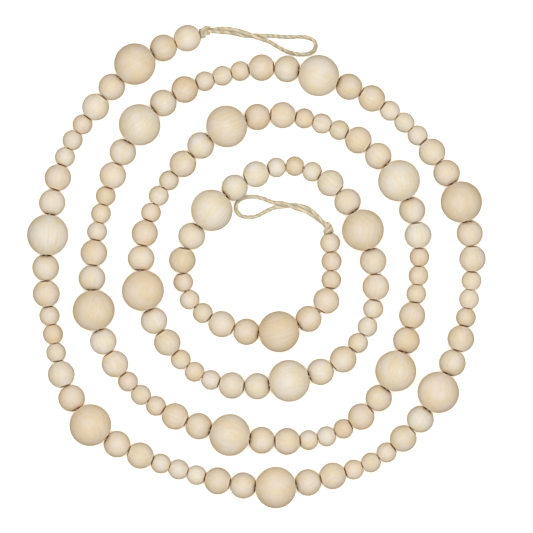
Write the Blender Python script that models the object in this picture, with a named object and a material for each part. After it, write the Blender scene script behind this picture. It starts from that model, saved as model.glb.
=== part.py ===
"""Wood bead garland laid down as a flat coil, with a knotted loop of twine at each end.

Round wood beads in three sizes hang on one string, eight to a repeat. They lie on z = 0, each on a
flat facet, so each bead's centre is as high as its own radius. The coil starts at the outer knot at
the top left and runs anticlockwise inwards to the inner knot. Blender units are metres. The
tables and sizes here are in millimetres. The origin lies on the floor in the middle of the coil.
"""

import math
from collections import namedtuple

import bmesh
import bpy
import numpy as np

MM = 0.001
UP = np.array([0.0, 0.0, 1.0])

# A bead is a faceted ball round the string's axis, cut flat at both ends of its bore. It has as
# many sides round the axis as named here, and an odd number of bands of facets along it.
Bead = namedtuple("Bead", "diameter sides bands")
BEADS = {
    "large": Bead(diameter=25.0, sides=12, bands=7),
    "medium": Bead(diameter=16.0, sides=10, bands=5),
    "small": Bead(diameter=12.0, sides=10, bands=3),
}
END_RADIUS = 2.4
GAP = 0.3

# The repeat, and the solids that it is made of: each takes so many of its beads in turn.
REPEAT = ("medium", "medium", "large", "medium", "medium", "small", "small", "small")
Group = namedtuple("Group", "name beads")
GROUPS = (
    Group("medium_pair", 2),
    Group("large_bead", 1),
    Group("run_of_five", 5),
)

# Where the string lies, a row for each repeat from the outer end inwards: the plan places (x, y)
# where it passes through the first medium bead, the large bead, the last medium bead and the
# middle small bead.
Row = namedtuple("Row", "first_medium large last_medium small")
COIL = (
    Row((-42, 139), (-74, 123), (-98, 97), (-112, 77)),
    Row((-121, 54), (-127, 19), (-128, -18), (-124, -42)),
    Row((-119, -66), (-101, -97), (-70, -116), (-48, -124)),
    Row((-24, -131), (12, -135), (47, -128), (70, -120)),
    Row((90, -105), (111, -77), (125, -44), (130, -20)),
    Row((132, 4), (125, 39), (107, 70), (90, 88)),
    Row((71, 102), (38, 116), (3, 121), (-21, 116)),
    Row((-43, 108), (-71, 86), (-88, 54), (-95, 31)),
    Row((-99, 8), (-99, -27), (-86, -60), (-70, -79)),
    Row((-49, -92), (-16, -103), (19, -107), (43, -104)),
    Row((64, -92), (85, -64), (95, -31), (99, -7)),
    Row((99, 17), (87, 52), (62, 77), (40, 87)),
    Row((16, 92), (-18, 85), (-45, 62), (-60, 42)),
    Row((-68, 20), (-69, -15), (-54, -47), (-37, -65)),
    Row((-14, -73), (20, -70), (53, -57), (68, -37)),
    Row((73, -13), (65, 22), (46, 50), (23, 61)),
    Row((0, 56), (-27, 34), (-45, 4), (-41, -20)),
    Row((-22, -35), (14, -40), (43, -21), (46, 3)),
)

# A knot is turned round a short arc that leaves its bead squarely and leans over, in degrees
# anticlockwise, to its neck. Its rings say how far along they are, and how wide.
Ring = namedtuple("Ring", "share radius")
Knot = namedtuple("Knot", "name middle length lean rings")
KNOT_SIDES = 8
KNOT_LUMPS = 0.12
OUTER_KNOT = Knot(
    name="knot_outer",
    middle=(-31, 142.6),
    length=6.6,
    lean=-16,
    rings=(
        Ring(0.0, 1.9),
        Ring(0.12, 2.7),
        Ring(0.34, 2.4),
        Ring(0.55, 3.5),
        Ring(0.8, 3.4),
        Ring(1.0, 2.5),
    ),
)
INNER_KNOT = Knot(
    name="knot_inner",
    middle=(44, 23),
    length=6.4,
    lean=28,
    rings=(
        Ring(0.0, 2.4),
        Ring(0.15, 3.1),
        Ring(0.45, 3.2),
        Ring(0.75, 2.8),
        Ring(1.0, 2.5),
    ),
)

# The twine's two strands leave the knot as a twisted neck, come down to the floor, part, and meet
# round an open loop. The neck is given by its middle line (x, y, z), the loop by its plan (x, y).
# The strand that starts the loop leaves the knot at the first angle: at 0 it lies to the left of
# the other, and at 90 above it.
Loop = namedtuple("Loop", "name neck first_angle turns loop")
TWINE_DIAMETER = 2.0
STRAND_OFFSET = 1.3
POINT_SPACING = 2 * TWINE_DIAMETER
STRAIGHT_RUN = POINT_SPACING
OUTER_LOOP = Loop(
    name="loop_outer",
    neck=(
        (-18.5, 143.7, 6.3),
        (-14, 143.1, 4.5),
        (-8, 141.5, 3),
        (-2, 140.2, 2.4),
        (4, 139, 1.8),
    ),
    first_angle=-90,
    turns=1.25,
    loop=(
        (9, 140),
        (14, 139.6),
        (20, 139.3),
        (27, 139.5),
        (32.4, 138.6),
        (35.3, 136.9),
        (36.4, 134),
        (35.3, 131),
        (32.4, 129.3),
        (29, 128.7),
        (24, 129),
        (18, 130.8),
        (12, 134.1),
        (8, 136.4),
    ),
)
INNER_LOOP = Loop(
    name="loop_inner",
    neck=(
        (35.5, 32, 4),
        (31, 34.2, 3),
        (26, 35.7, 2.5),
        (20, 36.7, 2.4),
        (15.5, 36.9, 1.8),
    ),
    first_angle=-20,
    turns=1.06,
    loop=(
        (11, 35.2),
        (6, 33),
        (0, 30),
        (-5, 29.3),
        (-10, 30.8),
        (-12.3, 34),
        (-11.9, 37.7),
        (-9.3, 40.5),
        (-5, 41.8),
        (0, 41.7),
        (5, 40.5),
        (10, 38.5),
    ),
)

WOOD_COLOUR = (0.79, 0.68, 0.52, 1.0)
WOOD_ROUGHNESS = 0.62
TWINE_COLOUR = (0.62, 0.53, 0.38, 1.0)
TWINE_ROUGHNESS = 0.9

CURVE_STEPS = 24
SHARP_ANGLE = math.radians(45)


def clear_scene():
    for item in list(bpy.data.objects):
        bpy.data.objects.remove(item, do_unlink=True)


def make_material(name, colour, roughness):
    material = bpy.data.materials.new(name)
    material.use_nodes = True
    shader = material.node_tree.nodes["Principled BSDF"]
    shader.inputs["Base Color"].default_value = colour
    shader.inputs["Roughness"].default_value = roughness
    shader.inputs["Metallic"].default_value = 0.0
    material.diffuse_color = colour
    return material


def unit(vector):
    return vector / np.linalg.norm(vector)


def smooth_curve(points):
    """A smooth curve through the points, as many short chords.

    Each span is a cubic in its own share t, from one point to the next. Its slope at a point is
    the weighted mean of the chords on both sides, so the spans join without a kink.
    """
    points = np.array(points, float)
    chords = np.linalg.norm(np.diff(points, axis=0), axis=1)
    slopes = np.gradient(points, np.concatenate([[0.0], np.cumsum(chords)]), axis=0)
    t = np.linspace(0.0, 1.0, CURVE_STEPS, endpoint=False)[:, None]
    spans = [
        (1 + 2 * t) * (1 - t) ** 2 * points[i]
        + t * (1 - t) ** 2 * chord * slopes[i]
        + t**2 * (3 - 2 * t) * points[i + 1]
        - t**2 * (1 - t) * chord * slopes[i + 1]
        for i, chord in enumerate(chords)
    ]
    return np.vstack(spans + [points[-1:]])


def lengths_along(curve):
    chords = np.linalg.norm(np.diff(curve, axis=0), axis=1)
    return np.concatenate([[0.0], np.cumsum(chords)])


def read_at(curve, lengths):
    """The curve's points at the given lengths along it."""
    along = lengths_along(curve)
    return np.stack([np.interp(lengths, along, axis) for axis in curve.T], axis=1)


def half_length(kind):
    """From a bead's middle to its flat end, or half of a knot."""
    if isinstance(kind, Knot):
        return kind.length / 2
    return math.sqrt((BEADS[kind].diameter / 2) ** 2 - END_RADIUS**2)


def centre_height(chain, index):
    """A bead's centre is its radius above the floor. A knot is level with the bead beside it."""
    if isinstance(chain[index], Knot):
        index = 1 if index == 0 else index - 1
    return BEADS[chain[index]].diameter / 2


def place_chain(chain):
    """The middle of every bead and knot.

    A smooth plan curve runs through the table's places, and the large beads and the knots keep
    theirs. Between two of those the other beads share out the curve in proportion to the distance
    that two such beads, touching, keep in plan.
    """
    heights = np.array([centre_height(chain, i) for i in range(len(chain))])
    halves = np.array([half_length(kind) for kind in chain])
    pitches = halves[:-1] + halves[1:] + GAP
    in_plan = np.sqrt(pitches**2 - np.diff(heights) ** 2)
    along_chain = np.concatenate([[0.0], np.cumsum(in_plan)])

    places = [chain[0].middle, *(place for row in COIL for place in row), chain[-1].middle]
    curve = smooth_curve(places)
    at_places = lengths_along(curve)[::CURVE_STEPS]
    first_large = 1 + Row._fields.index("large")
    at_large = at_places[first_large : -1 : len(Row._fields)]
    kept = [i for i, kind in enumerate(chain) if kind == "large" or isinstance(kind, Knot)]
    at_kept = [at_places[0], *at_large, at_places[-1]]
    plan = read_at(curve, np.interp(along_chain, along_chain[kept], at_kept))
    return np.column_stack([plan, heights])


def ring_of(centre, axis, radius, sides, wide=1.0, tall=1.0):
    """Points round an axis, with the middle of one side at the bottom."""
    side = unit(np.cross(UP, axis))
    top = np.cross(axis, side)
    angles = (np.arange(sides) + 0.5) * 2 * math.pi / sides
    across = np.sin(angles)[:, None] * side * wide
    upright = -np.cos(angles)[:, None] * top * tall
    return centre + (across + upright) * radius


def bead_rings(kind, centre, axis):
    """The rings of one bead between its two ends.

    Along the axis the outline is a polygon that touches the bead's circle from outside, from one
    flat end to the other. Round the axis each ring is a polygon as tall and as wide as the circle,
    so the middle band's lowest facet lies flat on the floor.
    """
    bead = BEADS[kind]
    radius = bead.diameter / 2
    end_angle = math.acos(END_RADIUS / radius)
    band = 2 * end_angle / bead.bands
    corner = radius / math.cos(band / 2)
    tall = 1 / math.cos(math.pi / bead.sides)
    wide = tall if bead.sides % 4 == 0 else 1.0
    rings = []
    for step in range(1, bead.bands):
        angle = step * band - end_angle
        middle = centre + axis * corner * math.sin(angle)
        rings.append(ring_of(middle, axis, corner * math.cos(angle), bead.sides, wide, tall))
    return rings


def along_knot(knot, start, axis, share):
    """The place at a share of the knot's arc, and the arc's direction there."""
    turn = math.radians(knot.lean) * share
    radius = knot.length / math.radians(knot.lean)
    left = np.cross(UP, axis)
    place = start + radius * (math.sin(turn) * axis + (1 - math.cos(turn)) * left)
    return place, math.cos(turn) * axis + math.sin(turn) * left


def knot_rings(knot, start, axis):
    """The rings of one knot from its bead to its neck, oval in turn one way and the other."""
    rings = []
    angles = np.arange(KNOT_SIDES) * 2 * math.pi / KNOT_SIDES
    for row in knot.rings:
        middle, direction = along_knot(knot, start, axis, row.share)
        ring = ring_of(middle, direction, row.radius, KNOT_SIDES)
        lumps = np.cos(2 * angles + 2 * math.pi * row.share) * math.sin(math.pi * row.share)
        rings.append(middle + (ring - middle) * (1 + KNOT_LUMPS * lumps)[:, None])
    return rings


def floor_under(points):
    """The place on the floor under the middle of a piece, which becomes the piece's origin."""
    return np.mean(points, axis=0) * (1, 1, 0)


def place_piece(name, data, origin, garland):
    piece = bpy.data.objects.new(name, data)
    bpy.context.collection.objects.link(piece)
    piece.location = origin * MM
    piece.parent = garland


def make_solid(name, rings, material, garland):
    """One closed solid: each ring is bridged to the next, and the first and last are filled."""
    origin = floor_under(np.vstack(rings))
    work = bmesh.new()
    loops = []
    for ring in rings:
        verts = [work.verts.new(point) for point in (ring - origin) * MM]
        loops.append([work.edges.new((verts[i - 1], verts[i])) for i in range(len(verts))])
    for loop, after in zip(loops, loops[1:]):
        bmesh.ops.bridge_loops(work, edges=loop + after)
    for loop in (loops[0], loops[-1]):
        bmesh.ops.contextual_create(work, geom=loop)
    bmesh.ops.recalc_face_normals(work, faces=work.faces)

    mesh = bpy.data.meshes.new(name)
    work.to_mesh(mesh)
    work.free()
    mesh.shade_smooth()
    mesh.set_sharp_from_angle(angle=SHARP_ANGLE)
    mesh.materials.append(material)
    place_piece(name, mesh, origin, garland)


def make_beads(chain, centres, material, garland):
    """Every solid of every repeat. Beads of one solid share the ring where they touch."""
    steps = np.diff(centres, axis=0)
    apart = np.linalg.norm(steps, axis=1)
    lines = steps / apart[:, None]
    halves = np.array([half_length(kind) for kind in chain])
    touching = centres[:-1] + steps * (halves[:-1] / (halves[:-1] + halves[1:]))[:, None]

    index = 1
    for repeat in range(len(COIL)):
        for group in GROUPS:
            sides = BEADS[chain[index]].sides
            start = touching[index - 1] + lines[index - 1] * GAP / 2
            rings = [ring_of(start, lines[index - 1], END_RADIUS, sides)]
            after = index + group.beads
            for bead in range(index, after):
                level = (lines[bead - 1] + lines[bead]) * (1, 1, 0)
                rings += bead_rings(chain[bead], centres[bead], unit(level))
                rings.append(ring_of(touching[bead], lines[bead], END_RADIUS, sides))
            rings[-1] = rings[-1] - lines[after - 1] * GAP / 2
            make_solid(f"{group.name}_{repeat + 1:02d}", rings, material, garland)
            index = after


def strand(neck, loop, exit_line, turned):
    """One strand of the neck, from the knot to the loop.

    It keeps one offset from the neck's middle line and, after a straight run, turns round it.
    """
    along = lengths_along(neck)
    shares = np.maximum(along - STRAIGHT_RUN, 0.0) / (along[-1] - STRAIGHT_RUN)
    angles = np.radians(loop.first_angle + turned) + 2 * math.pi * loop.turns * shares
    directions = np.gradient(neck, along, axis=0)
    directions[:2] = exit_line
    left = np.cross(UP, directions)
    left /= np.linalg.norm(left, axis=1)[:, None]
    offsets = np.cos(angles)[:, None] * left + np.sin(angles)[:, None] * UP
    return neck + offsets * STRAND_OFFSET


def make_loop(loop, start, exit_line, material, garland):
    """The twine from the knot down the neck, round the loop, and back up the neck."""
    neck_curve = smooth_curve(np.vstack([start, start + exit_line * STRAIGHT_RUN, loop.neck]))
    neck_length = lengths_along(neck_curve)[-1]
    steps = round((neck_length - STRAIGHT_RUN) / POINT_SPACING)
    neck = read_at(neck_curve, np.append(0.0, np.linspace(STRAIGHT_RUN, neck_length, steps + 1)))
    out = strand(neck, loop, exit_line, 0)
    back = strand(neck, loop, exit_line, 180)
    open_loop = [(x, y, TWINE_DIAMETER / 2) for x, y in loop.loop]

    curve = smooth_curve(np.vstack([out, open_loop, back[::-1]]))
    length = lengths_along(curve)[-1]
    points = read_at(curve, np.linspace(0, length, round(length / POINT_SPACING) + 1))
    points[:, 2] = np.maximum(points[:, 2], TWINE_DIAMETER / 2)

    origin = floor_under(points)
    line = bpy.data.curves.new(loop.name, "CURVE")
    line.dimensions = "3D"
    line.bevel_depth = TWINE_DIAMETER / 2 * MM
    line.bevel_resolution = 2
    line.use_fill_caps = True
    spline = line.splines.new("POLY")
    spline.points.add(len(points) - 1)
    for point, place in zip(spline.points, (points - origin) * MM):
        point.co = (*place, 1.0)
    line.materials.append(material)
    place_piece(loop.name, line, origin, garland)


def main():
    clear_scene()
    wood = make_material("wood", WOOD_COLOUR, WOOD_ROUGHNESS)
    twine = make_material("twine", TWINE_COLOUR, TWINE_ROUGHNESS)
    garland = bpy.data.objects.new("garland", None)
    bpy.context.collection.objects.link(garland)

    chain = [OUTER_KNOT, *REPEAT * len(COIL), INNER_KNOT]
    centres = place_chain(chain)
    make_beads(chain, centres, wood, garland)
    for knot, loop, end, beside in (
        (OUTER_KNOT, OUTER_LOOP, 0, 1),
        (INNER_KNOT, INNER_LOOP, -1, -2),
    ):
        axis = unit(centres[end] - centres[beside])
        start = centres[end] - axis * knot.length / 2
        make_solid(knot.name, knot_rings(knot, start, axis), twine, garland)
        finish, exit_line = along_knot(knot, start, axis, 1.0)
        make_loop(loop, finish + exit_line * GAP, exit_line, twine, garland)


main()
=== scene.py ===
"""The looks of a wood bead garland that lies in a flat coil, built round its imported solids.

It has turned beads with their bores, the string that runs through them, and at each end a knot
and a loop of two-ply twine with loose fibres. Shapes are worked out in millimetres as numpy
arrays, and become metres when their mesh is made.
"""

import math
from collections import namedtuple

import bpy
import numpy as np
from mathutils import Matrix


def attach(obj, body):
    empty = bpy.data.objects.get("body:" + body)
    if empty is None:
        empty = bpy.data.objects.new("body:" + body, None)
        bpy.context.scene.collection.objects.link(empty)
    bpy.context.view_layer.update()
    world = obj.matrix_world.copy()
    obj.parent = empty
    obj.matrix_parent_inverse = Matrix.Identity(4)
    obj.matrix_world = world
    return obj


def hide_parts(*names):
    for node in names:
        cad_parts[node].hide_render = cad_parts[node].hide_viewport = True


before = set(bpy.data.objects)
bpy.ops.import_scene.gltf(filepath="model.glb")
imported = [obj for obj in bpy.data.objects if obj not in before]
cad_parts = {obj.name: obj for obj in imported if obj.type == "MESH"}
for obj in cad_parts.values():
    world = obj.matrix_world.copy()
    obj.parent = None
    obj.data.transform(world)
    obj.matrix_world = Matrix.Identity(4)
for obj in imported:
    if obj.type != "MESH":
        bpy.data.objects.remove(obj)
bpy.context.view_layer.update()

MM = 0.001
UP = np.array([0.0, 0.0, 1.0])
FULL_TURN = 2 * math.pi
TINY = 1e-6
RANDOM_SEED = 18

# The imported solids, in the order in which the string passes through them. Each of their beads
# rests on a flat facet, whose triangles lie under the floor level and within reach of each other.
REPEATS = 18
GROUPS = ("medium_pair", "large_bead", "run_of_five")
FLOOR_LEVEL = 0.05
FACET_REACH = 5.0

# A turned bead. Its flat ends are a little wider than the imported bead's. They meet the
# neighbours' ends, less a clearance, and to reach them the bead may be drawn out along its bore
# by the longest share. The painted shade of a flat end fades out over a band beside its eased
# rim, and the slack keeps the rim's own points in that painted shade whatever their rounding.
PACKED_END_RADIUS = 2.4
END_CLEARANCE = 0.02
LONGEST = 1.05
RIM_EASE = 0.3
RIM_BAND = 0.3
RIM_POINTS = 5
BORE_RADIUS = 1.55
MOUTH_EASE = 0.4
MOUTH_POINTS = 4
ROUNDING_SLACK = 0.01

# The kinds of bead, by diameter: the radius of the flat ends, how far past the rim the painted
# light at an end, which offsets its neighbours' shade, reaches beside a neighbour of the same
# size, and how many points lie on the arc from the middle of the ball to the rim, and round the
# bead.
BeadKind = namedtuple("BeadKind", "end_radius pale_reach arc_points round_points")
BEAD_KINDS = {
    25: BeadKind(end_radius=3.5, pale_reach=3.2, arc_points=18, round_points=40),
    16: BeadKind(end_radius=3.1, pale_reach=2.4, arc_points=15, round_points=34),
    12: BeadKind(end_radius=2.8, pale_reach=1.4, arc_points=12, round_points=28),
}

# How beads differ: sizes are shares of their kind's, a bead is out of round by a share, its bore
# sways from the string's line, and it was cut from its own place in the log, so far from the pith
# and anywhere along it. Tones and blushes are spread about a middle.
BEAD_SIZES = (1.002, 1.032)
BEAD_OVAL = 0.004
BEAD_SWAY = math.radians(1.2)
PITH_NEAR, PITH_FAR = 6.0, 45.0
LOG_REACH = 300.0
TONE_MIDDLE, TONE_SPREAD = 0.5, 0.2
BLUSH_MIDDLE, BLUSH_SPREAD, BLUSH_LEAST = 0.52, 0.26, 0.05

# Two-ply twine. Sizes of the plies and the groove are shares of the twine's radius, and its
# diameter is its mean width. Its lay is uneven by two drifts, each a wave with its swing, the
# length in which it goes on by one radian, and the angle at which it starts.
TWINE_RADIUS = 1.32
PLY_RADIUS = 0.62
PLY_OFFSET = 0.4
GROOVE = 0.9
PLY_PITCH = 13.0
LAY_DRIFTS = ((5.0, 7.3, 0.0), (1.4, 3.7, 1.0))
TWINE_SIDES = 20
TWINE_STEP = 0.35

# The same twine inside the beads, drawn tight, and the air it keeps to the wall of a bore.
STRING_RADIUS = 0.85
STRING_AIR = 0.12
STRING_SIDES = 12
STRING_STEP = 1.2

# The loops' routes, as in the part's source, with the same gap to their knots. The neck is given
# by its middle line (x, y, z), and the loop by its plan (x, y). They lie a little aside of the
# packed ones, where the real twine does: aside shifts each point of the neck along Y, and its
# last shift also moves the loop. The two strands of a neck keep an offset from its middle line
# and turn round it: at a share of the neck's length, the strand that starts the loop lies at an
# angle, 0 to the left of the other and 90 above it. Shade darkens the twine. Both strands run
# straight at first, and are tucked into the knot.
CURVE_STEPS = 24
GAP = 0.3
NECK_OFFSET = 1.14
POINT_SPACING = 4.0
STRAIGHT_RUN = POINT_SPACING
TUCKED = 2.5
Turn = namedtuple("Turn", "share angle")
Loop = namedtuple("Loop", "node aside shade neck turns loop")
OUTER_LOOP = Loop(
    node="loop_outer",
    aside=(0, 0.2, 0.35, 0.5, 0.7),
    shade=0.2,
    neck=(
        (-18.5, 143.7, 6.3),
        (-14, 143.1, 4.5),
        (-8, 141.5, 3),
        (-2, 140.2, 2.4),
        (4, 139, 1.8),
    ),
    turns=(
        Turn(0, 110),
        Turn(0.15, 150),
        Turn(0.3, 180),
        Turn(0.6, 192),
        Turn(0.8, 270),
        Turn(1, 360),
    ),
    loop=(
        (9, 140),
        (14, 139.6),
        (20, 139.3),
        (27, 139.5),
        (32.4, 138.6),
        (35.3, 136.9),
        (36.4, 134),
        (35.3, 131),
        (32.4, 129.3),
        (29, 128.7),
        (24, 129),
        (18, 130.8),
        (12, 134.1),
        (8, 136.4),
    ),
)
INNER_LOOP = Loop(
    node="loop_inner",
    aside=(-0.8, 0, 0.2, 0.3, 0.4),
    shade=0.0,
    neck=(
        (35.5, 32, 4),
        (31, 34.2, 3),
        (26, 35.7, 2.5),
        (20, 36.7, 2.4),
        (15.5, 36.9, 1.8),
    ),
    turns=(
        Turn(0, 100),
        Turn(0.25, 125),
        Turn(0.45, 175),
        Turn(0.66, 188),
        Turn(0.84, 270),
        Turn(1, 360),
    ),
    loop=(
        (11, 35.2),
        (6, 33),
        (0, 30),
        (-5, 29.3),
        (-10, 30.8),
        (-12.3, 34),
        (-11.9, 37.7),
        (-9.3, 40.5),
        (-5, 41.8),
        (0, 41.7),
        (5, 40.5),
        (10, 38.5),
    ),
)

# A knot lies on an arc that leaves its bead squarely and leans to the left, by so many degrees
# over the knot's length. Its path is mirrored where side is -1, and its far end is swollen or
# drawn in by the share lump. The loop starts aside (x, y) of the arc's end, and heads further to
# the left by the exit's turn in degrees.
Knot = namedtuple("Knot", "node middle length lean side lump exit_aside exit_turn")
OUTER_KNOT = Knot(
    node="knot_outer",
    middle=(-31, 142.6),
    length=6.6,
    lean=-16,
    side=1,
    lump=1.05,
    exit_aside=(0, 0.9),
    exit_turn=0,
)
INNER_KNOT = Knot(
    node="knot_inner",
    middle=(44, 23),
    length=6.4,
    lean=28,
    side=-1,
    lump=0.62,
    exit_aside=(-0.3, -0.1),
    exit_turn=15,
)

# The path of both overhand knots, in the knot's own frame, with along going from the bead's end
# to the neck. The doubled twine comes out of the bore, runs along the left and dips under at the
# far end, turns up and back over the top as the lump, goes down the right, once round underneath
# as a collar and up the left again, and leaves through the middle. The lump's share applies in
# full from the lump's start on, and not before the collar's end. Each strand lies a spread from
# the path, and less than that in the bore.
Pass = namedtuple("Pass", "along left above")
OVERHAND = (
    Pass(-2.4, 0.0, -0.2),
    Pass(0.1, 0.3, 0.2),
    Pass(1.3, 1.0, 0.3),
    Pass(3.2, 1.0, -0.7),
    Pass(4.6, 1.5, -1.5),
    Pass(5.1, 2.6, -0.5),
    Pass(4.3, 2.7, 1.1),
    Pass(3.2, 1.5, 2.2),
    Pass(2.1, -0.4, 2.5),
    Pass(1.4, -1.9, 1.4),
    Pass(1.3, -2.1, -0.4),
    Pass(1.4, -1.2, -1.9),
    Pass(1.5, 0.6, -2.2),
    Pass(1.5, 1.9, -1.1),
    Pass(1.6, 2.0, 0.5),
    Pass(2.4, 1.3, 0.9),
    Pass(3.6, 0.4, 0.5),
    Pass(5.4, 0.0, 0.1),
)
COLLAR_END, LUMP_START = 2.2, 4.8
KNOT_TWINE_RADIUS = 1.04
KNOT_SPREAD = 0.86
BORE_SPREAD = 0.5
KNOT_STEP = 0.2

# Loose fibres that stand off the twine. They are rooted at a share of its radius, and run so far
# along it for each part outwards. Bend, sag, curl and taper are shares of a fibre's reach or
# width, and the swing is the angle through which its curl goes.
FIBRES_PER_MM = 0.8
FIBRE_RADIUS = 0.032
FIBRE_RINGS = 7
FIBRE_SIDES = 3
FIBRE_ROOT = 0.55
FIBRE_SLANTS = (0.7, 1.6)
FIBRE_REACHES = (0.8, 2.6)
FIBRE_BEND = 0.45
FIBRE_SAG = 0.25
FIBRE_CURL = 0.3
FIBRE_SWING = 4.0
FIBRE_TAPER = 0.75

# The finishes: colours, how deep their relief is, and how strongly they shine. A tint multiplies
# the colour beneath it. Growth rings are so wide, and waver by so much.
CREAM_WOOD = (0.797, 0.788, 0.75, 1)
WARM_WOOD = (0.71, 0.637, 0.518, 1)
PEACH_TINT = (1.02, 0.95, 0.9, 1)
STRAW_TINT = (0.99, 0.95, 0.81, 1)
GRAIN_TINT = (0.8, 0.72, 0.6, 1)
PORE_TINT = (0.62, 0.48, 0.35, 1)
# Painted light: it lifts the wood near a bead's ends, against the shade its neighbours cast.
END_PAINTED_LIGHT_TINT = (1.26, 1.23, 1.18, 1)
# Painted shade: a warm brown beside the ends' rims, where beads meet.
RIM_PAINTED_SHADE_TINT = (0.96, 0.82, 0.6, 1)
# Painted shade: near black-brown on the flat ends and in the bores, for the dark lines where beads
# meet.
END_PAINTED_SHADE_TINT = (0.21, 0.11, 0.05, 1)
RING_WIDTH, RING_WAVER = 2.6, 9.0
WOOD_RELIEF = 0.08
WOOD_SHINE = 0.4
PALE_TWINE = (0.84, 0.73, 0.55, 1)
GREY_TWINE = (0.71, 0.69, 0.56, 1)
DARK_TWINE = (0.42, 0.34, 0.21, 1)
TWINE_RELIEF = 0.25
TWINE_SHINE = 0.2

# The camera looks straight down on the coil, from far off. The view's width is measured at the
# height of the beads' middles.
VIEW_WIDTH = 325.1
VIEW_MIDDLE = (6.28, -0.33)
CAMERA_HEIGHT = 3000.0
BEAD_MIDDLE_HEIGHT = 9.0
SENSOR = 36.0
FARTHEST_SEEN = 100000.0

# The dome has one strength under the horizon, more above it and a little more still overhead. It
# is warm at the horizon and white from some way up. A round lamp hangs nearly overhead.
DOME_UNDER, DOME_ABOVE, DOME_OVERHEAD = 0.14, 0.57, 0.1
HORIZON_BLUR = 0.06
WHITE_FROM = 0.8
HORIZON_COLOUR = (1.09, 0.92, 0.70, 1)
DOME_COLOUR = (1, 1, 1, 1)
LAMP_PLACE = (50.0, 50.0, 1600.0)
LAMP_WIDTH = 900.0
LAMP_POWER = 10.5

# The floor lies just under the beads and reaches far out of view. Its warm whites are brighter
# than paint, so that open floor is plain white while the shadows between beads stay soft.
FLOOR_HALF = 12000.0
FLOOR_DROP = 0.1
FLOOR_WHITES = ((1.6, 1.5, 1.34, 1), (1.65, 1.55, 1.38, 1))
FLOOR_CLOUDS = 6.0
FLOOR_GLOW = 0.2


# Lines and surfaces


def unit(vectors):
    return vectors / np.linalg.norm(vectors, axis=-1, keepdims=True)


def turned_left(line, angle):
    """A direction turned about the upright, to the left of where it goes."""
    flat = line * (1, 1, 0)
    return line - flat + math.cos(angle) * flat + math.sin(angle) * np.cross(UP, flat)


def lengths_along(curve):
    chords = np.linalg.norm(np.diff(curve, axis=0), axis=1)
    return np.concatenate([[0.0], np.cumsum(chords)])


def read_at(curve, lengths):
    """The curve's points at the given lengths along it."""
    along = lengths_along(curve)
    return np.stack([np.interp(lengths, along, axis) for axis in curve.T], axis=1)


def evenly(curve, spacing):
    """The curve read again at points about so far apart."""
    length = lengths_along(curve)[-1]
    return read_at(curve, np.linspace(0, length, round(length / spacing) + 1))


def smooth_curve(points):
    """A smooth curve through the points, as many short chords.

    Each span is a cubic in its own share t, from one point to the next. Its slope at a point is
    the weighted mean of the chords on both sides, so the spans join without a kink.
    """
    points = np.array(points, float)
    chords = np.linalg.norm(np.diff(points, axis=0), axis=1)
    slopes = np.gradient(points, np.concatenate([[0.0], np.cumsum(chords)]), axis=0)
    t = np.linspace(0.0, 1.0, CURVE_STEPS, endpoint=False)[:, None]
    spans = [
        (1 + 2 * t) * (1 - t) ** 2 * points[i]
        + t * (1 - t) ** 2 * chord * slopes[i]
        + t**2 * (3 - 2 * t) * points[i + 1]
        - t**2 * (1 - t) * chord * slopes[i + 1]
        for i, chord in enumerate(chords)
    ]
    return np.vstack(spans + [points[-1:]])


def bezier(start, corner, end, count):
    """A curve of so many points from start to end, drawn towards a corner.

    At share t the three weigh (1 - t)^2, 2 t (1 - t) and t^2.
    """
    t = np.linspace(0, 1, count)[:, None]
    return (1 - t) ** 2 * np.array(start) + 2 * t * (1 - t) * np.array(corner) + t**2 * np.array(end)


def grid_faces(rows, columns, closed_rows=False):
    """The four-sided faces of a grid of points whose last column joins its first.

    With closed rows, its last row joins its first too.
    """
    row = np.arange(rows if closed_rows else rows - 1)[:, None]
    column = np.arange(columns)[None, :]
    after_row = (row + 1) % rows
    after_column = (column + 1) % columns
    corners = (
        row * columns + column,
        row * columns + after_column,
        after_row * columns + after_column,
        after_row * columns + column,
    )
    return np.stack(np.broadcast_arrays(*corners), axis=-1).reshape(-1, 4).tolist()


# A surface: its points in millimetres, its faces, and the values its finish reads at each point.
Patch = namedtuple("Patch", "points faces values")


def shifted(faces, start):
    """The faces with their points counted on from a start."""
    return [[corner + start for corner in face] for face in faces]


def joined(patches):
    """Several patches as one: their points in turn, and their faces counted on."""
    starts = np.cumsum([0] + [len(patch.points) for patch in patches[:-1]]).tolist()
    faces = [face for patch, start in zip(patches, starts) for face in shifted(patch.faces, start)]
    names = patches[0].values
    values = {name: np.concatenate([patch.values[name] for patch in patches]) for name in names}
    return Patch(np.vstack([patch.points for patch in patches]), faces, values)


def make_piece(name, patch, material):
    """A mesh piece of the garland, with its patch's values as point attributes."""
    mesh = bpy.data.meshes.new(name)
    mesh.from_pydata((patch.points * MM).tolist(), [], patch.faces)
    for key, value in patch.values.items():
        kind, field = ("FLOAT_VECTOR", "vector") if value.ndim == 2 else ("FLOAT", "value")
        layer = mesh.attributes.new(key, kind, "POINT")
        layer.data.foreach_set(field, value.astype(np.float32).ravel())
    mesh.shade_smooth()
    mesh.materials.append(material)
    piece = bpy.data.objects.new(name, mesh)
    bpy.context.collection.objects.link(piece)
    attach(piece, "root")
    return piece


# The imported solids


def read_triangles(node):
    """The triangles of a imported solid, in millimetres: one row of three corners for each."""
    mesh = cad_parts[node].data
    points = np.empty(3 * len(mesh.vertices), np.float32)
    mesh.vertices.foreach_get("co", points)
    corners = np.empty(len(mesh.loops), np.int32)
    mesh.loops.foreach_get("vertex_index", corners)
    return points.reshape(-1, 3)[corners].reshape(-1, 3, 3).astype(float) / MM


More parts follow.
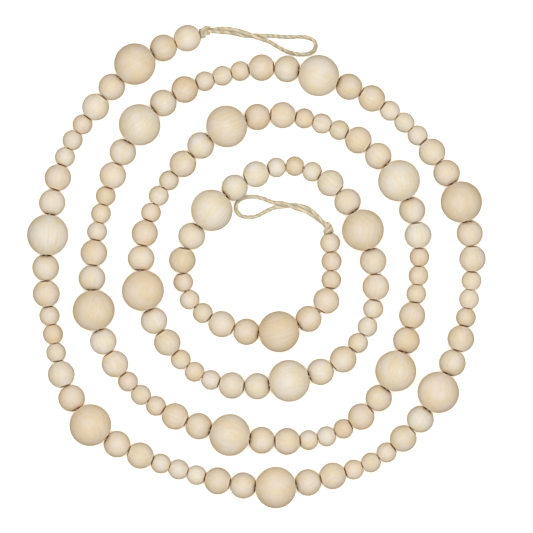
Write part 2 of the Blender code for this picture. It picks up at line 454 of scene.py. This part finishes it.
def read_beads(node):
    """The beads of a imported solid, a row (x, y, diameter) for each.

    A bead rests on one flat facet whose middle is right under the bead's centre, so the triangles
    on the floor within a facet's reach of each other belong to one bead. The highest corner above
    them is at the bead's diameter.
    """
    triangles = read_triangles(node)
    on_floor = triangles[:, :, 2].max(axis=1) < FLOOR_LEVEL
    foot = triangles[on_floor].mean(axis=1)[:, :2]
    near = np.linalg.norm(foot[:, None] - foot, axis=2) < FACET_REACH
    middles = (near @ foot / near.sum(axis=1)[:, None])[np.unique(near.argmax(axis=1))]
    corners = triangles.reshape(-1, 3)
    above = np.linalg.norm(corners[:, None, :2] - middles, axis=2) < FACET_REACH
    tops = np.where(above, corners[:, 2:], 0).max(axis=0)
    return np.column_stack([middles, tops])


def read_chain(beside):
    """Each node's beads in the string's order, from the place beside the first one inwards."""
    chain = {}
    for repeat in range(1, REPEATS + 1):
        for group in GROUPS:
            node = f"{group}_{repeat:02d}"
            beads = read_beads(node)
            nearest_first = np.argsort(np.linalg.norm(beads[:, :2] - beside, axis=1))
            chain[node] = beads[nearest_first]
            beside = chain[node][-1, :2]
    return chain


# Turned beads


def bead_outline(radius, kind):
    """A bead's outline (along the bore, out from it), once round, and half its length.

    From the middle of the ball it follows the circle to the rim, rounds the rim onto the flat
    end, rounds the mouth of the bore, runs to the bore's middle, and comes back mirrored.
    """
    half = math.sqrt(radius**2 - kind.end_radius**2)
    rim_angle = math.asin((kind.end_radius + RIM_EASE) / radius)
    band_angle = math.asin((kind.end_radius + RIM_EASE + RIM_BAND) / radius)
    arc = np.linspace(math.pi / 2, band_angle, kind.arc_points - 1)
    angles = np.append(arc, rim_angle)
    ball = radius * np.column_stack([np.cos(angles), np.sin(angles)])
    rim_end = (half, kind.end_radius - RIM_EASE)
    rim = bezier(ball[-1], (half, kind.end_radius), rim_end, RIM_POINTS)[1:]
    mouth_start = (half, BORE_RADIUS + MOUTH_EASE / 2)
    mouth_end = (half - MOUTH_EASE, BORE_RADIUS)
    mouth = bezier(mouth_start, (half, BORE_RADIUS), mouth_end, MOUTH_POINTS)
    bore = np.array([(half / 2, BORE_RADIUS), (0.0, BORE_RADIUS)])
    outward = np.vstack([ball, rim, mouth, bore])
    back = outward[-2:0:-1] * (-1, 1)
    return np.vstack([outward, back]), half


def bead(centre, axis, radius, ends, pale, turn, pith, tone, blush, kind):
    """A turned bead: its outline carried once round its axis.

    The point at angle a is centre + along * axis + out * (cos a * side + sin a * top), with out
    a little larger along one side than across it, and along stretched to reach the bead's ends.
    The bead is then set down on the floor. Its values are the place in the log that it was cut
    from, in millimetres, whether a point is on a flat end or in the bore, where shade is painted,
    how near it is to an end's rim, as far as the painted light there reaches, and the bead's own
    tone and blush.
    """
    outline, half = bead_outline(radius, kind)
    along, out = outline[:, :1], outline[:, 1:]
    past_rim = out - kind.end_radius - RIM_EASE
    # How near a point lies to an end, over the reach of the painted light there.
    near_end = np.clip(1 - past_rim / np.where(along > 0, pale[1], pale[0]), 0, 1)
    # Painted shade on the flat end, its eased rim and the bore, for the dark lines where beads meet.
    in_painted_shade = np.where(out <= kind.end_radius + RIM_EASE + ROUNDING_SLACK, 1.0, 0.0)
    along = along * np.where(along > 0, ends[1], ends[0]) / half

    side = unit(np.cross(UP, axis))
    top = np.cross(axis, side)
    angles = np.arange(kind.round_points) * FULL_TURN / kind.round_points
    oval = 1 + BEAD_OVAL * np.cos(2 * (angles - turn))
    around = np.cos(angles)[:, None] * side + np.sin(angles)[:, None] * top
    points = centre + along[..., None] * axis + out[..., None] * (oval[:, None] * around)
    points = points.reshape(-1, 3)
    points[:, 2] -= points[:, 2].min()

    in_log = (
        along + pith[2],
        out * np.cos(angles - turn) + pith[0],
        out * np.sin(angles - turn) + pith[1],
    )
    values = {
        "log": np.stack(np.broadcast_arrays(*in_log), axis=-1).reshape(-1, 3),
        # The mouth value carries the painted shade, and the end value the painted light near an end.
        "mouth": np.repeat(in_painted_shade, len(angles)),
        "end": np.repeat(near_end, len(angles)),
        "tone": np.full(len(points), tone),
        "blush": np.full(len(points), blush),
    }
    return Patch(points, grid_faces(len(outline), len(angles), closed_rows=True), values)


def reach_to(plane, end_radii, axes, lines):
    """How far along its axis a bead's flat end lies when it meets a plane with its rim.

    The plane is square to the line between two beads. The axis leans from that line, so the rim
    comes nearer to the plane than the end's middle, by its radius times the sine of the lean.
    """
    cosine = (axes * lines).sum(axis=1)
    sine = np.sqrt(1 - np.minimum(cosine, 1) ** 2)
    return (plane - (end_radii - RIM_EASE / 2) * sine) / cosine - END_CLEARANCE


def bead_ends(centres, radii, diameters, end_radii, axes):
    """How far each bead's two flat ends lie from its centre: a column for entry, one for exit.

    Neighbours share out the distance between them in proportion to their packed half lengths.
    """
    packed = np.sqrt((diameters / 2) ** 2 - PACKED_END_RADIUS**2)
    steps = np.diff(centres, axis=0)
    apart = np.linalg.norm(steps, axis=1)
    lines = steps / apart[:, None]
    share = packed[:-1] / (packed[:-1] + packed[1:])
    exits = reach_to(apart * share, end_radii[:-1], axes[:-1], lines)
    entries = reach_to(apart * (1 - share), end_radii[1:], axes[1:], lines)
    exits = np.append(exits, packed[-1])
    entries = np.append(packed[0], entries)
    longest = LONGEST * np.sqrt(radii**2 - end_radii**2)
    return np.minimum(np.column_stack([entries, exits]), longest[:, None])


def build_beads(chain, knots, material, rng):
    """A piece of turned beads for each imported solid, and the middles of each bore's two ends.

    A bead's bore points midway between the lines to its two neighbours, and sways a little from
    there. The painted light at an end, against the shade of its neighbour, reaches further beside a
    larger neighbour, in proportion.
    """
    beads = np.vstack(list(chain.values()))
    count = len(beads)
    diameters = np.rint(beads[:, 2])
    radii = diameters / 2 * rng.uniform(*BEAD_SIZES, count)
    turns = rng.uniform(0, FULL_TURN, count)
    pith_angles = rng.uniform(0, FULL_TURN, count)
    pith_far = rng.uniform(PITH_NEAR, PITH_FAR, count)
    starts = rng.uniform(-LOG_REACH, LOG_REACH, count)
    tones = np.clip(rng.normal(TONE_MIDDLE, TONE_SPREAD, count), 0, 1)
    blushes = np.clip(rng.normal(BLUSH_MIDDLE, BLUSH_SPREAD, count), BLUSH_LEAST, 1)
    sways = rng.normal(0, BEAD_SWAY, (count, 3))
    pith = np.column_stack([np.cos(pith_angles) * pith_far, np.sin(pith_angles) * pith_far, starts])

    centres = np.column_stack([beads[:, :2], radii])
    first, last = ([*knot.middle, radii[end]] for knot, end in zip(knots, (0, -1)))
    lines = unit(np.diff(np.vstack([first, centres, last]), axis=0))
    axes = unit(lines[:-1] + lines[1:] + sways)
    kinds = [BEAD_KINDS[int(diameter)] for diameter in diameters]
    end_radii = np.array([kind.end_radius for kind in kinds])
    ends = bead_ends(centres, radii, diameters, end_radii, axes)
    # The painted light at an end reaches by its neighbour's size.
    beside = np.concatenate([diameters[:1], diameters, diameters[-1:]])
    reaches = np.array([kind.pale_reach for kind in kinds]) / diameters
    pale = reaches[:, None] * np.column_stack([beside[:-2], beside[2:]])

    turned = map(bead, centres, axes, radii, ends, pale, turns, pith, tones, blushes, kinds)
    for node, rows in chain.items():
        patch = joined([next(turned) for _ in rows])
        piece = make_piece(f"turned_{node}", patch, material)
        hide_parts(node)
    return centres - axes * ends[:, :1], centres + axes * ends[:, 1:]


# Twine, string, knots and loops


def twine(path, radius, sides, shade=0.0):
    """The surface of a two-ply twine along a path.

    Across the path its edge is the outline of two plies side by side. Each ply is a circle, so at
    angle a from the plies' own line the edge is offset * |cos a| + sqrt(ply^2 - (offset * sin a)^2)
    from the middle, and not under the groove's depth, where fibres fill it. The outline turns
    once in each pitch along the path, give or take the drifts of its lay. The ends are flat. Its
    values are the place in the strand, in millimetres, how deep in the groove, and the shade.
    """
    along = lengths_along(path)
    direction = unit(np.gradient(path, along, axis=0))
    side = unit(np.cross(UP, direction))
    top = np.cross(direction, side)
    angles = np.arange(sides) * FULL_TURN / sides
    circles = np.sqrt(PLY_RADIUS**2 - (PLY_OFFSET * np.sin(angles)) ** 2)
    edge = np.maximum(PLY_OFFSET * np.abs(np.cos(angles)) + circles, GROOVE)
    uneven = sum(swing * np.sin(along / length + start) for swing, length, start in LAY_DRIFTS)
    turned = angles + ((along + uneven) / PLY_PITCH * FULL_TURN)[:, None]
    across = (radius * edge * np.cos(turned))[..., None]
    upright = (radius * edge * np.sin(turned))[..., None]
    points = path[:, None] + across * side[:, None] + upright * top[:, None]
    rows = np.repeat(along, sides)
    in_ply = radius * np.column_stack([edge * np.cos(angles), edge * np.sin(angles)])
    values = {
        "strand": np.column_stack([rows, np.tile(in_ply, (len(path), 1))]),
        "groove": np.tile((1 - edge) / (1 - GROOVE), len(path)),
        "shade": np.full(len(rows), shade),
    }
    faces = [face[::-1] for face in grid_faces(len(path), sides)]
    last = (len(path) - 1) * sides
    faces.append(list(range(sides)))
    faces.append(list(range(last + sides - 1, last - 1, -1)))
    return Patch(points.reshape(-1, 3), faces, values)


def string_route(entries, exits):
    """The string's middle line, into and out of every bead's bore.

    At each mouth it moves over towards the next bead's mouth, as far as the bore leaves it room.
    """
    axes = unit(exits - entries)
    between = entries[1:] - exits[:-1]
    over = between - (between * axes[:-1]).sum(axis=1)[:, None] * axes[:-1]
    reach = np.linalg.norm(over, axis=1)[:, None]
    room = BORE_RADIUS - STRING_RADIUS - STRING_AIR
    shift = over / np.maximum(reach, TINY) * np.minimum(reach / 2, room)
    into = np.vstack([entries[:1], entries[1:] - shift])
    out = np.vstack([exits[:-1] + shift, exits[-1:]])
    return np.stack([into, out], axis=1).reshape(-1, 3)


def along_knot(knot, start, axis, shares):
    """The places at shares of a knot's arc, and the arc's directions there."""
    turn = math.radians(knot.lean) * shares[:, None]
    radius = knot.length / math.radians(knot.lean)
    left = np.cross(UP, axis)
    places = start + radius * (np.sin(turn) * axis + (1 - np.cos(turn)) * left)
    return places, np.cos(turn) * axis + np.sin(turn) * left


def knot_piece(knot, start, axis, shade, material):
    """An overhand knot: two strands side by side along its path.

    A point of the path stands off the knot's arc to its left and above it, and the lump's share
    of the knot is swollen or drawn in. The strands lie side by side on the knot's round, at right
    angles to the path and to the way out from the arc, and closer together in the bore.
    """
    curve = evenly(smooth_curve(OVERHAND), KNOT_STEP)
    along, to_left, above = curve[:, :1], curve[:, 1:2], curve[:, 2:]
    places, directions = along_knot(knot, start, axis, curve[:, 0] / knot.length)
    left = unit(np.cross(UP, directions))
    in_lump = np.clip((along - COLLAR_END) / (LUMP_START - COLLAR_END), 0, 1)
    swell = 1 + (knot.lump - 1) * in_lump
    out = (to_left * knot.side * left + above * UP) * swell
    middle = places + out
    aside = unit(np.cross(np.gradient(middle, axis=0), out))
    spread = BORE_SPREAD + (KNOT_SPREAD - BORE_SPREAD) * np.clip(along / COLLAR_END, 0, 1)
    patches = [
        twine(middle + way * spread * aside, KNOT_TWINE_RADIUS, TWINE_SIDES, shade)
        for way in (-1, 1)
    ]
    piece = make_piece(f"tied_{knot.node}", joined(patches), material)
    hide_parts(knot.node)
    return piece


def strand(neck, loop, exit_line, turned):
    """One strand of a neck, from the knot to the loop.

    It keeps one offset from the neck's middle line and turns round it as the loop's table says,
    the whole of it turned by so many degrees.
    """
    along = lengths_along(neck)
    turns = np.array(loop.turns)
    angles = np.radians(np.interp(along / along[-1], turns[:, 0], turns[:, 1]) + turned)
    directions = np.gradient(neck, along, axis=0)
    directions[:2] = exit_line
    left = unit(np.cross(UP, directions))
    offsets = np.cos(angles)[:, None] * left + np.sin(angles)[:, None] * UP
    return neck + offsets * NECK_OFFSET


def loop_route(loop, start, exit_line):
    """The twine's middle line from the knot down the neck, round the loop, and back."""
    middle_line = np.array(loop.neck) + np.outer(loop.aside, (0, 1, 0))
    neck_curve = smooth_curve(np.vstack([start, start + exit_line * STRAIGHT_RUN, middle_line]))
    neck_length = lengths_along(neck_curve)[-1]
    steps = round((neck_length - STRAIGHT_RUN) / POINT_SPACING)
    neck = read_at(neck_curve, np.append(0.0, np.linspace(STRAIGHT_RUN, neck_length, steps + 1)))
    out = strand(neck, loop, exit_line, 0)
    back = strand(neck, loop, exit_line, 180)
    open_loop = np.array([(x, y + loop.aside[-1], TWINE_RADIUS) for x, y in loop.loop])
    curve = smooth_curve(np.vstack([out, open_loop, back[::-1]]))
    curve[:, 2] = np.maximum(curve[:, 2], TWINE_RADIUS)
    return curve


def loose_fibres(path, count, rng):
    """Fine fibres that stand off the twine.

    Each starts just under the twine's surface at a random place and side, leaves it at a slant,
    bends and curls: at share t it is start + reach * (t * slant + t^2 * bend + t * sin(swing t) *
    curl). It sags a little, stays above the floor, and thins towards its tip.
    """
    places = rng.integers(1, len(path) - 1, count)
    direction = unit(path[places + 1] - path[places - 1])
    angles = rng.uniform(0, FULL_TURN, count)[:, None]
    side = unit(np.cross(UP, direction))
    off = np.cos(angles) * side + np.sin(angles) * np.cross(direction, side)
    start = path[places] + off * TWINE_RADIUS * FIBRE_ROOT
    ways = rng.choice([-1.0, 1.0], count)[:, None]
    slant = unit(ways * direction * rng.uniform(*FIBRE_SLANTS, (count, 1)) + off)
    bend = rng.normal(0, FIBRE_BEND, (count, 3)) - FIBRE_SAG * UP
    curl = rng.normal(0, FIBRE_CURL, (count, 3))
    reach = rng.uniform(*FIBRE_REACHES, (count, 1))
    t = np.linspace(0, 1, FIBRE_RINGS)[None, :, None]
    shape = t * slant[:, None] + t**2 * bend[:, None] + t * np.sin(FIBRE_SWING * t) * curl[:, None]
    line = start[:, None] + reach[:, None] * shape
    line[..., 2] = np.maximum(line[..., 2], 2 * FIBRE_RADIUS)
    across = unit(np.cross(slant, off))
    corners = np.arange(FIBRE_SIDES) * FULL_TURN / FIBRE_SIDES
    ring = np.cos(corners)[:, None] * across[:, None] + np.sin(corners)[:, None] * off[:, None]
    width = FIBRE_RADIUS * (1 - FIBRE_TAPER * t)
    points = (line[:, :, None] + width[..., None] * ring[:, None]).reshape(-1, 3)
    tip = FIBRE_RINGS * FIBRE_SIDES
    one = grid_faces(FIBRE_RINGS, FIBRE_SIDES)
    one += [list(range(FIBRE_SIDES))[::-1], list(range(tip - FIBRE_SIDES, tip))]
    faces = [face for fibre in range(count) for face in shifted(one, fibre * tip)]
    plain = np.zeros(len(points))
    return Patch(points, faces, {"strand": points, "groove": plain, "shade": plain})


def build_end(knot, loop, beside, material, rng):
    """A knot beside its bead, the twine loop that leaves it, and the loop's loose fibres."""
    middle = np.array([*knot.middle, beside[2]])
    axis = unit(middle - beside)
    start = middle - axis * knot.length / 2
    tied = knot_piece(knot, start, axis, loop.shade, material)

    finish, exit_line = (row[0] for row in along_knot(knot, start, axis, np.array([1.0])))
    exit_line = turned_left(exit_line, math.radians(knot.exit_turn))
    curve = loop_route(loop, finish + exit_line * GAP + [*knot.exit_aside, 0], exit_line)
    tucked = np.vstack([curve[:1] - exit_line * TUCKED, curve, curve[-1:] - exit_line * TUCKED])
    fine = evenly(tucked, TWINE_STEP)
    patch = twine(fine, TWINE_RADIUS, TWINE_SIDES, loop.shade)
    piece = make_piece(f"twine_{loop.node}", patch, material)
    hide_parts(loop.node)
    length = lengths_along(curve)[-1]
    fibres = loose_fibres(fine, int(length * FIBRES_PER_MM), rng)
    fluff = make_piece(f"fibres_{loop.node}", fibres, material)


# Shader nodes


class Value:
    """One output of a shader node. Sums, products and the like of it add their Math nodes."""

    def __init__(self, tree, output):
        self.tree = tree
        self.output = output

    def math(self, operation, *values):
        return add(self.tree, "Math", {"operation": operation}, dict(enumerate(values)))

    def __add__(self, other):
        return self.math("ADD", self, other)

    def __radd__(self, other):
        return self.math("ADD", other, self)

    def __sub__(self, other):
        return self.math("SUBTRACT", self, other)

    def __rsub__(self, other):
        return self.math("SUBTRACT", other, self)

    def __mul__(self, other):
        return self.math("MULTIPLY", self, other)

    def __rmul__(self, other):
        return self.math("MULTIPLY", other, self)

    def __truediv__(self, other):
        return self.math("DIVIDE", self, other)

    def __pow__(self, other):
        return self.math("POWER", self, other)

    def __mod__(self, other):
        return self.math("FLOORED_MODULO", self, other)

    def scaled(self, x, y, z):
        """A vector with each of its parts multiplied by its own number."""
        return add(self.tree, "VectorMath", {"operation": "MULTIPLY"}, {0: self, 1: (x, y, z)})

    def parts(self):
        return [add(self.tree, "SeparateXYZ", {}, {"Vector": self}, part) for part in "XYZ"]

    def between(self, low, high):
        """0 below the low value, 1 above the high one, and smooth between them."""
        inputs = {"Value": self, "From Min": low, "From Max": high}
        return add(self.tree, "MapRange", {"interpolation_type": "SMOOTHSTEP"}, inputs)


def add(tree, kind, settings, inputs, output=0):
    """Adds one shader node: its settings first, then the values or links of its inputs."""
    node = tree.nodes.new("ShaderNode" + kind)
    for name, setting in settings.items():
        setattr(node, name, setting)
    for name, value in inputs.items():
        if isinstance(value, Value):
            tree.links.new(value.output, node.inputs[name])
        else:
            node.inputs[name].default_value = value
    return Value(tree, node.outputs[output]) if node.outputs else None


# A Mix node's sockets for colours, by number, because it has others with the same names.
MIX_SHARE, MIX_FIRST, MIX_SECOND, MIXED = 0, 6, 7, 2


def mixed(share, first, second, blend="MIX"):
    """A colour between two, by a share from 0 to 1."""
    settings = {"data_type": "RGBA", "blend_type": blend}
    inputs = {MIX_SHARE: share, MIX_FIRST: first, MIX_SECOND: second}
    return add(share.tree, "Mix", settings, inputs, MIXED)


def tinted(share, colour, tint):
    """A colour multiplied by a tint, by a share from 0 to 1."""
    return mixed(share, colour, tint, "MULTIPLY")


def noise(place, along, across, detail=2.0, roughness=0.5):
    """Cloudy noise with so many clouds to a unit of the place, along its grain and across it."""
    stretched = place.scaled(along, across, across)
    inputs = {"Vector": stretched, "Scale": 1.0, "Detail": detail, "Roughness": roughness}
    return add(place.tree, "TexNoise", {}, inputs)


def attribute(tree, name, output="Fac"):
    """A value that a piece's points carry, as a number or as a vector."""
    return add(tree, "Attribute", {"attribute_name": name}, {}, output)


def empty_tree(owner):
    """The node tree of a new material or world, emptied."""
    owner.use_nodes = True
    owner.node_tree.nodes.clear()
    return owner.node_tree


# Finishes


def finish_surface(tree, colour, roughness, height, depth, shine):
    """The shader itself, with a bump whose height is given in shares of its depth."""
    bump = add(tree, "Bump", {}, {"Height": height, "Distance": depth * MM, "Strength": 1.0})
    inputs = {
        "Base Color": colour,
        "Roughness": roughness,
        "Normal": bump,
        "Specular IOR Level": shine,
    }
    shader = add(tree, "BsdfPrincipled", {}, inputs)
    add(tree, "OutputMaterial", {}, {"Surface": shader})


def bare_wood():
    """Pale, sanded, unfinished wood.

    Colour and relief follow the place in the log: patches of a straw tint, soft streaks and fine
    fibres along the bore, faint rings about the pith that darken towards their late wood, and
    short pores. Each bead has a tone and a blush of its own. Painted light makes it paler towards
    its ends, against the shade its neighbours cast there. Painted shade makes it browner at their
    rims and dark on the flat ends and in the bore, for the dark lines where beads meet.
    """
    material = bpy.data.materials.new("bare_wood")
    tree = empty_tree(material)
    log = attribute(tree, "log", "Vector")
    tone = attribute(tree, "tone")
    blush = attribute(tree, "blush")
    # mouth marks the painted shade of flat ends and bores, end the painted light near the ends.
    mouth = attribute(tree, "mouth")
    end = attribute(tree, "end")
    drift = noise(log, along=0.05, across=0.11)
    straw = noise(log, along=0.09, across=0.14, roughness=0.55).between(0.37, 0.63)
    streaks = noise(log, along=0.06, across=0.42, detail=3.0, roughness=0.6).between(0.35, 0.8)
    fibres = noise(log, along=0.16, across=2.1, detail=4.0, roughness=0.62)
    threads = noise(log, along=0.45, across=8.0, roughness=0.6)
    pores = noise(log, along=0.9, across=6.0, detail=1.5).between(0.67, 0.78)
    _, across, depth = log.parts()
    from_pith = (across * across + depth * depth) ** 0.5 + drift * RING_WAVER
    ring = (from_pith / RING_WIDTH) % 1.0
    late = ring.between(0.2, 0.85) * (1 - ring.between(0.88, 1.0))

    grain = 0.15 * streaks + 0.14 * late * drift.between(0.35, 0.6)
    grain = grain + 0.58 * (fibres - 0.5) + 0.45 * (threads - 0.5)
    colour = mixed(tone, CREAM_WOOD, WARM_WOOD)
    colour = tinted(blush, colour, PEACH_TINT)
    colour = tinted(straw, colour, STRAW_TINT)
    colour = tinted(grain.between(-0.3, 0.9), colour, GRAIN_TINT)
    colour = tinted(pores * 0.35, colour, PORE_TINT)
    # Painted light near the ends, against the neighbours' shade.
    colour = tinted(end, colour, END_PAINTED_LIGHT_TINT)
    # Painted shade, brown, beside the rims.
    colour = tinted(end.between(0.5, 1.0), colour, RIM_PAINTED_SHADE_TINT)
    # Painted shade on the flat ends and in the bore.
    colour = tinted(mouth, colour, END_PAINTED_SHADE_TINT)
    roughness = 0.46 + 0.16 * fibres + 0.4 * mouth
    height = 0.45 * fibres + 0.35 * threads - 0.5 * pores - 0.15 * late
    finish_surface(tree, colour, roughness, height, WOOD_RELIEF, WOOD_SHINE)
    return material


def plant_twine():
    """Undyed plant-fibre twine.

    It drifts between pale and grey, with fine fibres along it. It is darker in the groove between
    the plies, as painted shade, in blots, and all over where its shade says so.
    """
    material = bpy.data.materials.new("plant_twine")
    tree = empty_tree(material)
    place = attribute(tree, "strand", "Vector")
    groove = attribute(tree, "groove")
    shade = attribute(tree, "shade")
    fibres = noise(place, along=0.16, across=3.2, detail=5.0, roughness=0.65)
    drift = noise(place, along=0.07, across=0.3)
    blots = noise(place, along=0.35, across=0.3, detail=3.0).between(0.4, 0.7)
    # The groove's part of the dark is painted shade in the crease between the plies.
    dark = (fibres - 0.5) * 2.4 + groove * 0.4 + blots * 0.25 + shade * (0.4 + blots * 0.6)
    colour = mixed(drift.between(0.38, 0.62), PALE_TWINE, GREY_TWINE)
    colour = mixed(dark.between(-0.1, 1.1), colour, DARK_TWINE)
    roughness = 0.82 + 0.1 * fibres
    finish_surface(tree, colour, roughness, fibres, TWINE_RELIEF, TWINE_SHINE)
    return material


def plain_floor():
    """A warm white, a little cloudy, with a faint glow of its own."""
    material = bpy.data.materials.new("plain_floor")
    tree = empty_tree(material)
    place = add(tree, "TexCoord", {}, {}, "Object")
    inputs = {
        "Base Color": mixed(noise(place, FLOOR_CLOUDS, FLOOR_CLOUDS, detail=3.0), *FLOOR_WHITES),
        "Roughness": 0.9,
        "Emission Color": (1, 1, 1, 1),
        "Emission Strength": FLOOR_GLOW,
    }
    shader = add(tree, "BsdfPrincipled", {}, inputs)
    add(tree, "OutputMaterial", {}, {"Surface": shader})
    return material


# Camera, light and floor


def place_camera():
    data = bpy.data.cameras.new("from_above")
    data.sensor_width = SENSOR
    data.lens = SENSOR * (CAMERA_HEIGHT - BEAD_MIDDLE_HEIGHT) / VIEW_WIDTH
    data.clip_end = FARTHEST_SEEN * MM
    camera = bpy.data.objects.new("from_above", data)
    camera.location = np.array([*VIEW_MIDDLE, CAMERA_HEIGHT]) * MM
    bpy.context.collection.objects.link(camera)
    bpy.context.scene.camera = camera


def light_dome():
    """A soft dome of light, which gives the pieces most of their light from above the horizon."""
    world = bpy.data.worlds.new("soft_dome")
    tree = empty_tree(world)
    _, _, height = add(tree, "TexCoord", {}, {}, "Generated").parts()
    above = height.between(-HORIZON_BLUR, HORIZON_BLUR)
    colour = mixed(height.between(0.0, WHITE_FROM), HORIZON_COLOUR, DOME_COLOUR)
    strength = DOME_UNDER + above * (DOME_ABOVE + DOME_OVERHEAD * height * height)
    background = add(tree, "Background", {}, {"Color": colour, "Strength": strength})
    add(tree, "OutputWorld", {}, {"Surface": background})
    bpy.context.scene.world = world


def hang_lamp():
    """One broad round light above."""
    data = bpy.data.lights.new("overhead", "AREA")
    data.shape = "DISK"
    data.size = LAMP_WIDTH * MM
    data.energy = LAMP_POWER
    lamp = bpy.data.objects.new("overhead", data)
    lamp.location = np.array(LAMP_PLACE) * MM
    bpy.context.collection.objects.link(lamp)


def lay_floor():
    """A wide pale floor. It takes shadows, but the beads neither are lit by it nor mirror it."""
    mesh = bpy.data.meshes.new("floor")
    half = FLOOR_HALF * MM
    corners = [(-half, -half, 0), (half, -half, 0), (half, half, 0), (-half, half, 0)]
    mesh.from_pydata(corners, [], [(0, 1, 2, 3)])
    mesh.materials.append(plain_floor())
    floor = bpy.data.objects.new("floor", mesh)
    floor.location = (0, 0, -FLOOR_DROP * MM)
    floor.visible_diffuse = False
    floor.visible_glossy = False
    bpy.context.collection.objects.link(floor)


# The garland and what is round it


place_camera()
light_dome()
hang_lamp()
lay_floor()

rng = np.random.default_rng(RANDOM_SEED)
wood = bare_wood()
twine_finish = plant_twine()
chain = read_chain(np.array(OUTER_KNOT.middle))
entries, exits = build_beads(chain, (OUTER_KNOT, INNER_KNOT), wood, rng)
string = twine(evenly(string_route(entries, exits), STRING_STEP), STRING_RADIUS, STRING_SIDES)
make_piece("string", string, twine_finish)
for knot, loop, end in ((OUTER_KNOT, OUTER_LOOP, 0), (INNER_KNOT, INNER_LOOP, -1)):
    x, y, diameter = list(chain.values())[end][end]
    build_end(knot, loop, np.array([x, y, diameter / 2]), twine_finish, rng)

bpy.context.scene.view_settings.view_transform = "Standard"
